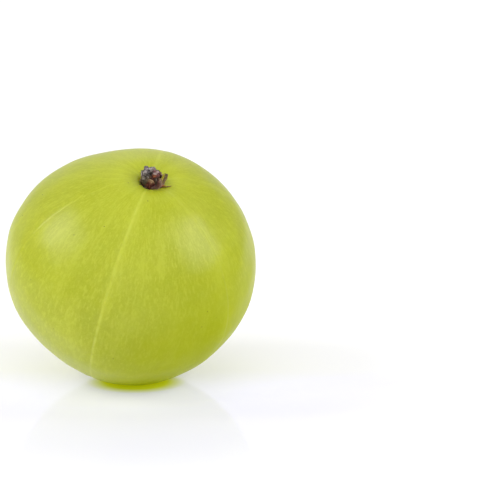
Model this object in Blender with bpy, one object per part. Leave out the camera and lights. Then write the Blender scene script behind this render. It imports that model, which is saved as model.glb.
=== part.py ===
"""Indian gooseberry: one whole ripe fruit as it lies on a table, with its dried calyx.

Both pieces are shaped upright, the stalk end up and the stalk axis on +Z, with formulas that raise a plain
sphere. They then lean over together into the way the fruit lies, and the fruit gets its flat rest spot.

Units are metres and +Z is up. The origin is on the rest spot, under the middle of the object's box.
Azimuths are degrees round the stalk axis, from +X towards +Y, before the lean. Polar angles are degrees
from the stalk end.
"""

import math
import random
from collections import namedtuple

import bmesh
import bpy
from mathutils import Matrix, Vector

MM = 0.001

# Fruit: main sizes
EQUATOR_RADIUS = 15.9 * MM
STALK_HALF_HEIGHT = 14.15 * MM
BLOSSOM_HALF_HEIGHT = 13.9 * MM
BELT_DRAW_IN = 0.006
BELT_POLAR = 118.0
BELT_SPREAD = 22.0

# Fruit: six seams, each on a rounded corner between two flatter lobes, in a shallow furrow
SEAM_AZIMUTHS = (22.0, 82.0, 144.0, 204.0, 258.0, 323.0)
LOBE_FLATNESS = 0.065
CORNER_ROUNDING = 0.12
CORNER_FADE = 1.2
FURROW_DEPTH = 0.08 * MM
FURROW_DEPTH_AT_ENDS = 0.17 * MM
FURROW_HALF_WIDTH = 0.65 * MM
FURROW_END_SPREAD = 38.0

# Fruit: how it grew unevenly, as broad swells and flats
Swell = namedtuple("Swell", "polar azimuth height spread")
SWELLS = (
    Swell(polar=45.0, azimuth=58.6, height=0.031, spread=32.0),
    Swell(polar=48.0, azimuth=125.6, height=-0.029, spread=32.0),
    Swell(polar=115.0, azimuth=328.6, height=-0.012, spread=32.0),
    Swell(polar=155.0, azimuth=297.6, height=0.066, spread=30.0),
)

# Fruit: the dimple round the calyx with the seat of its root, and the hollow at the blossom end
DIMPLE_DEPTH = 0.85 * MM
DIMPLE_SPREAD = 2.6 * MM
SEAT_DEPTH = 0.55 * MM
SEAT_RADIUS = 1.35 * MM
SEAT_STEEPNESS = 6
BLOSSOM_DEPTH = 0.40 * MM
BLOSSOM_SPREAD = 1.5 * MM

# Fruit: how it lies
LEAN = 25.4
LEAN_TOWARDS = -62.4
REST_DEPTH = 0.44 * MM

# Fruit: mesh
COLUMNS_PER_LOBE = 14
RINGS = 36
COLUMN_CROWDING = 0.5
RING_CROWDING = 0.6

# Calyx: the stub of the stalk in the middle, rough all over, with pits and a slanting broken top
TOUCHING_GAP = 0.3 * MM
STUB_RADIUS = 1.06 * MM
STUB_HALF_HEIGHT = 1.2 * MM
STUB_SQUARENESS = 3.2
STUB_FINENESS = 3
STUB_SLANT = 0.16
STUB_HIGH_SIDE = 160.0
CRUST_WAVES = 10
CRUST_CLOSENESS = 5.0
CRUST_CLOSENESS_STEP = 1.3
CRUST_HEIGHT = 0.045
CRUST_SEED = 11
Pit = namedtuple("Pit", "polar azimuth depth spread")
PITS = (
    Pit(polar=10.0, azimuth=300.0, depth=0.34, spread=15.0),
    Pit(polar=36.0, azimuth=185.0, depth=0.26, spread=11.0),
    Pit(polar=34.0, azimuth=255.0, depth=0.28, spread=11.0),
    Pit(polar=38.0, azimuth=30.0, depth=0.24, spread=12.0),
    Pit(polar=40.0, azimuth=105.0, depth=0.20, spread=11.0),
)

# Calyx: six withered sepals round the stub, five against it and one that stands off with a curled tip
SEPAL_AZIMUTHS = (46.0, 108.0, 169.0, 232.0, 292.0)
SEPAL_HALF_WIDTH = 0.64 * MM
SEPAL_HALF_THICKNESS = 0.27 * MM
SEPAL_TAPER = 0.95
SEPAL_THINNING = 0.45
SEPAL_FOOT_OUT = 1.28 * MM
SEPAL_FOOT_LIFT = 0.50 * MM
SEPAL_TIP_OUT = 0.72 * MM
SEPAL_BULGE = 0.12 * MM
SEPAL_RISE = 1.55 * MM
SEPAL_RIPPLE = 0.16
SEPAL_RIPPLES_ALONG = 9.0
SEPAL_RIPPLES_ACROSS = 2.5
SEPAL_SEED = 5
PROUD_AZIMUTH = 350.0
PROUD_HALF_WIDTH = 0.66 * MM
PROUD_FOOT_OUT = 0.60 * MM
PROUD_REACH = 1.25 * MM
PROUD_RISE = 1.40 * MM
PROUD_CURL = 0.42 * MM
PROUD_CURL_START = 0.55
SEATING_STEPS = 5

OBJECT_NAME = "indian_gooseberry"


def clear_scene():
    """Removes every object that the open file holds."""
    for thing in list(bpy.data.objects):
        bpy.data.objects.remove(thing, do_unlink=True)


def new_collection(name):
    """A new collection in the scene."""
    group = bpy.data.collections.new(name)
    bpy.context.scene.collection.children.link(group)
    return group


def new_material(name, colour, roughness):
    """A plain finish in one colour."""
    material = bpy.data.materials.new(name)
    material.use_nodes = True
    shader = material.node_tree.nodes["Principled BSDF"]
    shader.inputs["Base Color"].default_value = (*colour, 1.0)
    shader.inputs["Roughness"].default_value = roughness
    shader.inputs["Metallic"].default_value = 0.0
    material.diffuse_color = (*colour, 1.0)
    return material


def new_object(name, shape, group, material=None):
    """An object made from a bmesh, which is used up."""
    bmesh.ops.recalc_face_normals(shape, faces=shape.faces)
    mesh = bpy.data.meshes.new(name)
    shape.to_mesh(mesh)
    shape.free()
    thing = bpy.data.objects.new(name, mesh)
    group.objects.link(thing)
    if material:
        mesh.materials.append(material)
    return thing


def direction_of(polar, azimuth):
    """The unit vector at a polar angle and an azimuth, both in degrees."""
    tilt, turn = math.radians(polar), math.radians(azimuth)
    return Vector((math.sin(tilt) * math.cos(turn), math.sin(tilt) * math.sin(turn), math.cos(tilt)))


def bell(distance, spread):
    """1 in the middle, falling away smoothly to nothing past about twice the spread."""
    return math.exp(-((distance / spread) ** 2))


def smooth_length(distance, rounding):
    """The distance, with its sharp turn at nought rounded off."""
    return math.sqrt(distance * distance + rounding * rounding) - rounding


def lobe_at(azimuth):
    """Half the angle of the lobe at an azimuth, and how far from its nearer seam that is, from 0 to 1."""
    count = len(SEAM_AZIMUTHS)
    for i, low in enumerate(SEAM_AZIMUTHS):
        width = (SEAM_AZIMUTHS[(i + 1) % count] - low) % 360.0
        along = (azimuth - low) % 360.0
        if along < width:
            return width / 2.0, 1.0 - abs(2.0 * along / width - 1.0)
    raise ValueError(azimuth)


def oval_radius(polar):
    """The plain oval that the fruit starts from: two half ellipsoids that meet at the equator."""
    tilt = math.radians(polar)
    half_height = STALK_HALF_HEIGHT if polar < 90.0 else BLOSSOM_HALF_HEIGHT
    return 1.0 / math.hypot(math.sin(tilt) / EQUATOR_RADIUS, math.cos(tilt) / half_height)


def corner_gain(azimuth, polar):
    """How far the rounded corner at a seam stands out past the flatter middle of its lobes, as a share."""
    half_angle, from_seam = lobe_at(azimuth)
    from_middle = (1.0 - smooth_length(from_seam, CORNER_ROUNDING)) * math.radians(half_angle)
    return LOBE_FLATNESS * (1.0 / math.cos(from_middle) - 1.0) * math.sin(math.radians(polar)) ** CORNER_FADE


def furrow_depth(azimuth, polar, from_axis):
    """The furrow along the nearest seam, deeper towards both ends of the fruit."""
    half_angle, from_seam = lobe_at(azimuth)
    distance = from_seam * math.radians(half_angle) * from_axis
    near_end = bell(min(polar, 180.0 - polar), FURROW_END_SPREAD)
    depth = FURROW_DEPTH + (FURROW_DEPTH_AT_ENDS - FURROW_DEPTH) * near_end
    return depth * bell(distance, FURROW_HALF_WIDTH)


def fruit_radius(polar, azimuth):
    """From the fruit's middle to its skin: the oval, its corners and swells, less the furrows and hollows."""
    radius = oval_radius(polar)
    radius *= 1.0 + corner_gain(azimuth, polar)
    radius *= 1.0 - BELT_DRAW_IN * bell(polar - BELT_POLAR, BELT_SPREAD)
    direction = direction_of(polar, azimuth)
    for swell in SWELLS:
        away = math.degrees(direction.angle(direction_of(swell.polar, swell.azimuth)))
        radius *= 1.0 + swell.height * bell(away, swell.spread)
    from_axis = radius * math.sin(math.radians(polar))
    if polar < 90.0:
        radius -= DIMPLE_DEPTH * bell(from_axis, DIMPLE_SPREAD)
        radius -= SEAT_DEPTH * math.exp(-((from_axis / SEAT_RADIUS) ** SEAT_STEEPNESS))
    else:
        radius -= BLOSSOM_DEPTH * bell(from_axis, BLOSSOM_SPREAD)
    return radius - furrow_depth(azimuth, polar, from_axis)


def seam_column(azimuth):
    """Turns an even spread of azimuths into one with a column on each seam and more columns near it."""
    count = len(SEAM_AZIMUTHS)
    lobe, share = divmod(azimuth / 360.0 * count, 1.0)
    low = SEAM_AZIMUTHS[int(lobe) % count]
    width = (SEAM_AZIMUTHS[(int(lobe) + 1) % count] - low) % 360.0
    share -= COLUMN_CROWDING * math.sin(2.0 * math.pi * share) / (2.0 * math.pi)
    return (low + width * share) % 360.0


def end_ring(polar):
    """Turns an even spread of polar angles into one with more rings near both ends."""
    return polar - math.degrees(RING_CROWDING * math.sin(2.0 * math.radians(polar)) / 2.0)


def fruit_shape():
    """The fruit upright: a sphere whose every point moves out or in to the skin."""
    shape = bmesh.new()
    columns = COLUMNS_PER_LOBE * len(SEAM_AZIMUTHS)
    bmesh.ops.create_uvsphere(shape, u_segments=columns, v_segments=RINGS, radius=1.0)
    for vert in shape.verts:
        even_polar = math.degrees(math.acos(max(-1.0, min(1.0, vert.co.z))))
        step = 360.0 / columns
        even_azimuth = round(math.degrees(math.atan2(vert.co.y, vert.co.x)) / step) * step % 360.0
        polar, azimuth = end_ring(even_polar), seam_column(even_azimuth)
        vert.co = direction_of(polar, azimuth) * fruit_radius(polar, azimuth)
    return shape


def crust_waves():
    """The crossed ripples that roughen the stub: each a direction with its closeness, a phase and a height."""
    draw = random.Random(CRUST_SEED)
    waves = []
    for i in range(CRUST_WAVES):
        closeness = CRUST_CLOSENESS + CRUST_CLOSENESS_STEP * i
        direction = Vector((draw.gauss(0, 1), draw.gauss(0, 1), draw.gauss(0, 1))).normalized()
        height = CRUST_HEIGHT * CRUST_CLOSENESS / closeness
        waves.append((direction * closeness, draw.uniform(0.0, 2.0 * math.pi), height))
    return waves


def stub_radius(direction):
    """From the stub's middle to its side: a drum with round edges and a slanting top."""
    flat = math.hypot(direction.x, direction.y)
    half_height = STUB_HALF_HEIGHT
    if direction.z > 0.0 and flat > 0.0:
        high_side = direction_of(90.0, STUB_HIGH_SIDE)
        half_height *= 1.0 + STUB_SLANT * (direction.x * high_side.x + direction.y * high_side.y)
    across, upward = flat / STUB_RADIUS, abs(direction.z) / half_height
    return (across ** STUB_SQUARENESS + upward ** STUB_SQUARENESS) ** (-1.0 / STUB_SQUARENESS)


def stub_shape():
    """The stub of the stalk: a rough drum, pitted on top where the stalk broke off."""
    shape = bmesh.new()
    bmesh.ops.create_icosphere(shape, subdivisions=STUB_FINENESS, radius=1.0)
    waves = crust_waves()
    for vert in shape.verts:
        direction = vert.co.normalized()
        scale = 1.0 + sum(height * math.sin(wave.dot(direction) + phase) for wave, phase, height in waves)
        for pit in PITS:
            away = math.degrees(direction.angle(direction_of(pit.polar, pit.azimuth)))
            scale -= pit.depth * bell(away, pit.spread)
        vert.co = direction * stub_radius(direction) * scale
        vert.co.z += STUB_HALF_HEIGHT
    return shape


def pressed_line(share, reach):
    """The middle line of a sepal against the stub: distance from the axis and height, from foot to tip."""
    out = SEPAL_FOOT_OUT - (SEPAL_FOOT_OUT - SEPAL_TIP_OUT) * share ** 2
    out += SEPAL_BULGE * math.sin(math.pi * min(share, 1.0))
    return out, SEPAL_FOOT_LIFT + SEPAL_RISE * reach * share


def proud_line(share, reach):
    """The middle line of the sepal that stands off: out, then up, with its tip curled back in."""
    out = PROUD_FOOT_OUT + PROUD_REACH * math.sin(math.pi * 0.5 * min(1.0, share * 1.3))
    curl = PROUD_CURL * max(0.0, (share - PROUD_CURL_START) / (1.0 - PROUD_CURL_START)) ** 1.5
    return out - curl, SEPAL_FOOT_LIFT + PROUD_RISE * reach * share ** 1.4


def sepal_shape(line, azimuth, half_width, reach, draw):
    """A thick pointed scale along a middle line: a sphere drawn out, thinned, rippled and wrapped round."""
    shape = bmesh.new()
    bmesh.ops.create_uvsphere(shape, u_segments=12, v_segments=12, radius=1.0)
    turn = Matrix.Rotation(math.radians(azimuth), 3, "Z")
    phase, lean = draw.uniform(0.0, 2.0 * math.pi), draw.uniform(-0.25, 0.25)
    for vert in shape.verts:
        share = (vert.co.z + 1.0) / 2.0
        out, height = line(share, reach)
        ahead_out, ahead_height = line(share + 0.01, reach)
        along = Vector((ahead_out - out, 0.0, ahead_height - height)).normalized()
        outward = Vector((along.z, 0.0, -along.x))
        waves = math.sin(SEPAL_RIPPLES_ALONG * share + SEPAL_RIPPLES_ACROSS * vert.co.x + phase)
        ripple = 1.0 + SEPAL_RIPPLE * waves
        across = vert.co.x * half_width * (1.25 - SEPAL_TAPER * share) * ripple + lean * half_width * share
        proud = vert.co.y * SEPAL_HALF_THICKNESS * (1.1 - SEPAL_THINNING * share) * (2.0 - ripple)
        wrap = across * across / (2.0 * SEPAL_FOOT_OUT)
        vert.co = turn @ (Vector((out, across, height)) + outward * (proud - wrap))
    return shape


def calyx_pieces(group):
    """The sepals, each a separate object that the stub is then joined with."""
    draw = random.Random(SEPAL_SEED)
    for i, azimuth in enumerate(SEPAL_AZIMUTHS):
        half_width = SEPAL_HALF_WIDTH * draw.uniform(0.9, 1.12)
        reach = draw.uniform(0.72, 1.08)
        new_object(f"sepal_{i}", sepal_shape(pressed_line, azimuth, half_width, reach, draw), group)
    proud = sepal_shape(proud_line, PROUD_AZIMUTH, PROUD_HALF_WIDTH, 1.0, draw)
    new_object("sepal_proud", proud, group)


def join_pieces(whole, group):
    """One Boolean union of an object and a collection, applied, after which the collection's objects go."""
    union = whole.modifiers.new("join", "BOOLEAN")
    union.operation = "UNION"
    union.operand_type = "COLLECTION"
    union.collection = group
    union.solver = "EXACT"
    evaluated = whole.evaluated_get(bpy.context.evaluated_depsgraph_get())
    joined = bpy.data.meshes.new_from_object(evaluated)
    whole.modifiers.clear()
    whole.data = joined
    for piece in list(group.objects):
        bpy.data.objects.remove(piece, do_unlink=True)
    bpy.data.collections.remove(group)


def clearance(point):
    """How far a point lies outside the skin, along the line from the fruit's middle."""
    polar = math.degrees(point.angle(Vector((0.0, 0.0, 1.0))))
    azimuth = math.degrees(math.atan2(point.y, point.x)) % 360.0
    return point.length - fruit_radius(polar, azimuth)


def seat_height(verts):
    """The height at which the calyx sits in the dimple, its nearest point clear by the touching gap."""
    height = fruit_radius(0.0, 0.0)
    for _ in range(SEATING_STEPS):
        height += TOUCHING_GAP - min(clearance(vert.co + Vector((0.0, 0.0, height))) for vert in verts)
    return height


def make_calyx(group, material):
    """The dried calyx upright in its dimple, clear of the skin by the touching gap."""
    calyx = new_object("dried_calyx", stub_shape(), group, material)
    pieces = new_collection("calyx_pieces")
    calyx_pieces(pieces)
    join_pieces(calyx, pieces)
    calyx.location.z = seat_height(calyx.data.vertices)
    calyx.data.shade_smooth()
    calyx.data.set_sharp_from_angle(angle=math.radians(45.0))
    return calyx


def make_fruit(group, material):
    """The fruit upright, not yet cut flat where it rests."""
    fruit = new_object("fruit", fruit_shape(), group, material)
    fruit.data.shade_smooth()
    return fruit


def lay_down(fruit, group):
    """An empty that leans its children over and sets them on the floor, its origin under their middle."""
    way = math.radians(LEAN_TOWARDS)
    lean = Matrix.Rotation(math.radians(LEAN), 4, Vector((-math.sin(way), math.cos(way), 0.0)))
    points = [lean @ vert.co for vert in fruit.data.vertices]
    low = Vector(min(point[i] for point in points) for i in range(3))
    high = Vector(max(point[i] for point in points) for i in range(3))
    pose = bpy.data.objects.new("resting_pose", None)
    group.objects.link(pose)
    place = Vector((-(low.x + high.x) / 2.0, -(low.y + high.y) / 2.0, -low.z - REST_DEPTH))
    pose.matrix_world = Matrix.Translation(place) @ lean
    return pose


def cut_rest_spot(fruit, group):
    """The small flat spot that the fruit lies on: what is below the floor is cut off."""
    shape = bmesh.new()
    bmesh.ops.create_cube(shape, size=1.0)
    side, depth = EQUATOR_RADIUS, EQUATOR_RADIUS / 2.0
    bmesh.ops.scale(shape, vec=(side, side, depth), verts=shape.verts)
    block = new_object("floor_block", shape, group)
    block.location.z = -depth / 2.0
    block.hide_render = True
    block.display_type = "WIRE"
    cut = fruit.modifiers.new("rest_spot", "BOOLEAN")
    cut.operation = "DIFFERENCE"
    cut.object = block
    cut.solver = "EXACT"


def main():
    clear_scene()
    parts = new_collection(OBJECT_NAME)
    cutters = new_collection("cutters")
    skin = new_material("waxy_green_skin", (0.445, 0.533, 0.048), 0.36)
    woody = new_material("dried_brown_calyx", (0.117, 0.069, 0.045), 0.88)
    fruit = make_fruit(parts, skin)
    calyx = make_calyx(parts, woody)
    pose = lay_down(fruit, parts)
    fruit.parent = pose
    calyx.parent = pose
    cut_rest_spot(fruit, cutters)


main()
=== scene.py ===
"""Finished look of one whole Indian gooseberry that lies on a pale table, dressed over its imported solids.

Every piece is worked out upright, the stalk end up, with the stalk axis on +Z and the fruit's middle at the
origin, and then leaned over into the way the fruit lies. Lengths are metres and +Z is up. Azimuths are
degrees round the stalk axis, from +X towards +Y, before the lean. Polar angles are degrees from the stalk
end. A Reach is where a smooth step starts and ends, and a Ramp adds the values that it goes between. A name
that ends in _mm holds millimetres, as the materials' patterns are worked out in them.
"""

import logging
import math
from dataclasses import dataclass, field
from enum import Enum
from typing import Sequence, Union

import bpy
import numpy as np
from mathutils import Matrix, Vector


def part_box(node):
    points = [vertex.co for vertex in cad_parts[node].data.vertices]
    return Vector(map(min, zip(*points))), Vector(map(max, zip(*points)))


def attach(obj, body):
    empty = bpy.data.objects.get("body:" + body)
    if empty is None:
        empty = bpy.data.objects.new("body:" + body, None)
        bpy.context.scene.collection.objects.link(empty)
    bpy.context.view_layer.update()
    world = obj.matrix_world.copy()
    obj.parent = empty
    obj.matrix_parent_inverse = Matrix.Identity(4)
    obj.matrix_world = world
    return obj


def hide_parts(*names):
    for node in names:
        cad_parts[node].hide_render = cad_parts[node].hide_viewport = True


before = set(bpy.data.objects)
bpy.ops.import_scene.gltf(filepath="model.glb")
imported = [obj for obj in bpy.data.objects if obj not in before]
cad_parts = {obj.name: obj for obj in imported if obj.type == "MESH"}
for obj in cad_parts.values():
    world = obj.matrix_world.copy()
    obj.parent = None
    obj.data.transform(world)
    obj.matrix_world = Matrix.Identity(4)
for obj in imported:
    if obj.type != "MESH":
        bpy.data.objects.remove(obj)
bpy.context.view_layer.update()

MM = 0.001
BODY = "root"
FRUIT_NODE = "fruit"
CALYX_NODE = "dried_calyx"

Array = np.ndarray
Colour = tuple[float, float, float]
Reach = tuple[float, float]
Ramp = tuple[float, float, float, float]
Socket = bpy.types.NodeSocket
Link = Union[Socket, float, tuple]
FULL_TURN = 2.0 * math.pi

log = logging.getLogger("gooseberry")


# Formulas that several pieces share


def bell(distance: Array, spread: float) -> Array:
    """1 in the middle, falling as the exponential of minus the square of distance over spread."""
    return np.exp(-((np.asarray(distance) / spread) ** 2))


def smooth_length(distance: Array, rounding: float) -> Array:
    """The distance, its sharp turn at nought rounded: root of distance and rounding squared, less rounding."""
    return np.sqrt(np.square(distance) + rounding * rounding) - rounding


def smooth_step(value: Array, low: float, high: float) -> Array:
    """0 below low, 1 above high, and three squares less two cubes of the share in between."""
    share = np.clip((np.asarray(value) - low) / (high - low), 0.0, 1.0)
    return share * share * (3.0 - 2.0 * share)


def directions(polar: Array, azimuth: Array) -> Array:
    """Unit vectors at polar angles and azimuths in degrees, which broadcast against each other.

    Args:
        polar: Degrees from +Z.
        azimuth: Degrees from +X towards +Y.

    Returns:
        The vectors, with x, y and z on a new last axis.
    """
    tilt, turn = np.broadcast_arrays(np.radians(polar), np.radians(azimuth))
    return np.stack([np.sin(tilt) * np.cos(turn), np.sin(tilt) * np.sin(turn), np.cos(tilt)], axis=-1)


def degrees_apart(vectors: Array, polar: float, azimuth: float) -> Array:
    """Degrees between unit vectors and one direction, from the arc cosine of their dot product."""
    return np.degrees(np.arccos(np.clip(vectors @ directions(polar, azimuth), -1.0, 1.0)))


def waves(points: Array, count: int, closeness: float, step: float, seed: int) -> Array:
    """Smooth random relief: the sum of sines of crossed plane waves, each closer and lower than the last.

    Wave i has a random direction and phase, a closeness of closeness + step * i radians a unit, and a height
    of closeness over its own closeness.

    Args:
        points: Where the relief is wanted, with x, y and z on the last axis.
        count: How many waves are added up.
        closeness: Radians a unit of length in the widest wave.
        step: How much closer each next wave is.
        seed: Starts the random draw.

    Returns:
        The relief at each point, mostly between -1.5 and 1.5.
    """
    draw = np.random.default_rng(seed)
    total = np.zeros(points.shape[:-1])
    for i in range(count):
        way = draw.normal(size=3)
        along = points @ (way / np.linalg.norm(way))
        own = closeness + step * i
        total += closeness / own * np.sin(along * own + draw.uniform(0.0, FULL_TURN))
    return total


def nearest_cells(points: Array, middles: Array) -> tuple[Array, Array]:
    """Splits points into cells, each point going to its nearest middle.

    Args:
        points: The points, with x, y and z on the last axis.
        middles: One row for each cell's middle.

    Returns:
        The number of each point's cell, and how much further off the next middle is.
    """
    flat = points.reshape(-1, 3)
    squares = np.sum(flat ** 2, axis=1)[:, None] - 2.0 * flat @ middles.T + np.sum(middles ** 2, axis=1)[None]
    away = np.sqrt(np.maximum(squares, 0.0))
    order = np.argpartition(away, 1, axis=1)[:, :2]
    two = np.take_along_axis(away, order, axis=1)
    turned = two[:, 0] > two[:, 1]
    number = np.where(turned, order[:, 1], order[:, 0])
    gap = np.abs(two[:, 1] - two[:, 0])
    shape = points.shape[:-1]
    return number.reshape(shape), gap.reshape(shape)


# Meshes


@dataclass(frozen=True)
class Shell:
    """A closed surface: rows of points that each run once round, and the point that closes either end."""

    rows: Array
    first_end: Array
    last_end: Array

    def points(self) -> Array:
        """All its points, row by row, then the two ends."""
        return np.concatenate([self.rows.reshape(-1, 3), self.first_end[None], self.last_end[None]])

    def faces(self) -> tuple[Array, Array]:
        """Quads from row to row and a fan of triangles at each end, turned to face out.

        Returns:
            The quads and the triangles. They are turned round where six times the enclosed volume, the sum of
            the triple products of their corners, comes out below nought.
        """
        count, around = self.rows.shape[:2]
        grid = np.arange(count * around).reshape(count, around)
        ahead = np.roll(grid, -1, axis=1)
        quads = np.stack([grid[:-1], ahead[:-1], ahead[1:], grid[1:]], axis=-1).reshape(-1, 4)
        first = np.stack([ahead[0], grid[0], np.full(around, count * around)], axis=-1)
        last = np.stack([grid[-1], ahead[-1], np.full(around, count * around + 1)], axis=-1)
        fans = np.concatenate([first, last])
        points = self.points()
        corners = (points - points.mean(axis=0))[np.concatenate([quads[:, :3], quads[:, [0, 2, 3]], fans])]
        if np.einsum("ij,ij->", corners[:, 0], np.cross(corners[:, 1], corners[:, 2])) < 0.0:
            return quads[:, ::-1], fans[:, ::-1]
        return quads, fans


def new_piece(name: str, shells: Sequence[Shell]) -> bpy.types.Object:
    """Makes one smoothly shaded object of one or more closed shells.

    Args:
        name: The object's name.
        shells: The shells, in the order in which their points are stored.

    Returns:
        The new object, at the origin.
    """
    faces, start = [], 0
    for shell in shells:
        for group in shell.faces():
            faces += (group + start).tolist()
        start += len(shell.points())
    mesh = bpy.data.meshes.new(name)
    mesh.from_pydata(np.concatenate([shell.points() for shell in shells]).tolist(), [], faces)
    mesh.shade_smooth()
    piece = bpy.data.objects.new(name, mesh)
    bpy.context.scene.collection.objects.link(piece)
    return piece


def set_numbers(piece: bpy.types.Object, name: str, values: Array) -> None:
    """Stores one number for each point of a piece, as an attribute that its material reads."""
    layer = piece.data.attributes.new(name, "FLOAT", "POINT")
    layer.data.foreach_set("value", np.asarray(values, np.float32).ravel())


def set_colours(piece: bpy.types.Object, name: str, values: Array) -> None:
    """Stores one colour for each point of a piece, as an attribute that its material reads.

    Args:
        piece: The piece.
        name: The attribute's name.
        values: A row of red, green and blue for each point, in the order of the mesh's points.
    """
    rgba = np.ones((values.shape[0], 4), np.float32)
    rgba[:, :3] = values
    layer = piece.data.attributes.new(name, "FLOAT_COLOR", "POINT")
    layer.data.foreach_set("color", rgba.ravel())


# Materials: a short way to write node graphs


class Graph:
    """Adds nodes to a tree one after another and links them as it goes."""

    def __init__(self, material: bpy.types.Material) -> None:
        """Clears the material's tree and gives it a Principled shader.

        Args:
            material: The material that the nodes are for.
        """
        material.use_nodes = True
        self.tree = material.node_tree
        self.tree.nodes.clear()
        self.shader = self.tree.nodes.new("ShaderNodeBsdfPrincipled")
        output = self.tree.nodes.new("ShaderNodeOutputMaterial")
        self.tree.links.new(self.shader.outputs["BSDF"], output.inputs["Surface"])

    def feed(self, socket: Socket, value: Link) -> None:
        """Links a socket to another, or sets its own number or colour.

        Args:
            socket: The input socket.
            value: The output socket that it is linked to, or the value that it gets.
        """
        if isinstance(value, Socket):
            self.tree.links.new(value, socket)
        elif isinstance(value, tuple) and socket.type == "RGBA":
            socket.default_value = (*value, 1.0)
        else:
            socket.default_value = value

    def node(self, kind: str, inputs: dict[Union[str, int], Link], **settings: str) -> bpy.types.Node:
        """Adds a node.

        Args:
            kind: The node's type, without the word ShaderNode.
            inputs: What each input socket, by name or number, is fed.
            settings: The node's own options.

        Returns:
            The new node.
        """
        made = self.tree.nodes.new("ShaderNode" + kind)
        for option, value in settings.items():
            setattr(made, option, value)
        for socket, value in inputs.items():
            self.feed(made.inputs[socket], value)
        return made

    def calc(self, operation: str, *values: Link) -> Socket:
        """One step of arithmetic on numbers."""
        return self.node("Math", dict(enumerate(values)), operation=operation).outputs[0]

    def vector(self, operation: str, *values: Link) -> Socket:
        """One step of arithmetic on vectors, whose result is a number for a length or a dot product."""
        made = self.node("VectorMath", dict(enumerate(values)), operation=operation)
        return made.outputs["Value" if operation in ("LENGTH", "DOT_PRODUCT") else "Vector"]

    def spread(
        self, value: Link, low: float, high: float, to_low: float = 0.0, to_high: float = 1.0
    ) -> Socket:
        """Takes low to to_low and high to to_high along a smooth step, and stays there beyond them."""
        inputs = {"Value": value, "From Min": low, "From Max": high, "To Min": to_low, "To Max": to_high}
        return self.node("MapRange", inputs, interpolation_type="SMOOTHSTEP").outputs[0]

    def noise(self, place: Link, scale: float, detail: float = 2.0, roughness: float = 0.5) -> Socket:
        """Smooth noise, about 0.5 on average."""
        inputs = {"Vector": place, "Scale": scale, "Detail": detail, "Roughness": roughness}
        return self.node("TexNoise", inputs, noise_dimensions="3D").outputs["Fac"]

    def cells(self, place: Link, scale: float, feature: str = "F1") -> bpy.types.Node:
        """Cells round scattered points."""
        return self.node("TexVoronoi", {"Vector": place, "Scale": scale}, feature=feature)

    def mix(self, share: Link, first: Link, second: Link, way: str = "MIX") -> Socket:
        """Blends two colours.

        Args:
            share: How much of the second is taken, from 0 to 1.
            first: The first colour.
            second: The second colour.
            way: How they are blended, as Blender's Mix node names it.

        Returns:
            The blended colour.
        """
        made = self.node("Mix", {}, data_type="RGBA", blend_type=way)
        for number, value in ((0, share), (6, first), (7, second)):
            self.feed(made.inputs[number], value)
        return made.outputs[2]

    def attribute(self, name: str, output: str = "Fac") -> Socket:
        """A value that the piece's mesh carries."""
        return self.node("Attribute", {}, attribute_type="GEOMETRY", attribute_name=name).outputs[output]

    def bump(self, height: Link, depth: float) -> None:
        """Gives the shader fine relief from a height of 0 to 1, whose full range is depth metres."""
        made = self.node("Bump", {"Height": height, "Strength": 1.0, "Distance": depth})
        self.feed(self.shader.inputs["Normal"], made.outputs["Normal"])

    def surface(self, **values: Link) -> None:
        """Feeds the shader's sockets.

        Args:
            values: What each socket is fed, by its name in small letters with _ for a space.
        """
        sockets = {socket.name.lower().replace(" ", "_"): socket for socket in self.shader.inputs}
        for name, value in values.items():
            self.feed(sockets[name], value)


# The fruit's form, which repeats the solids' own sizes and formulas


@dataclass(frozen=True)
class Seam:
    """One of the pale lines that run from the stalk end to the blossom end."""

    azimuth: float
    strength: float


@dataclass(frozen=True)
class Swell:
    """A broad swell, or with a height below nought a flat, round one direction."""

    polar: float
    azimuth: float
    height: float
    spread: float


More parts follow.
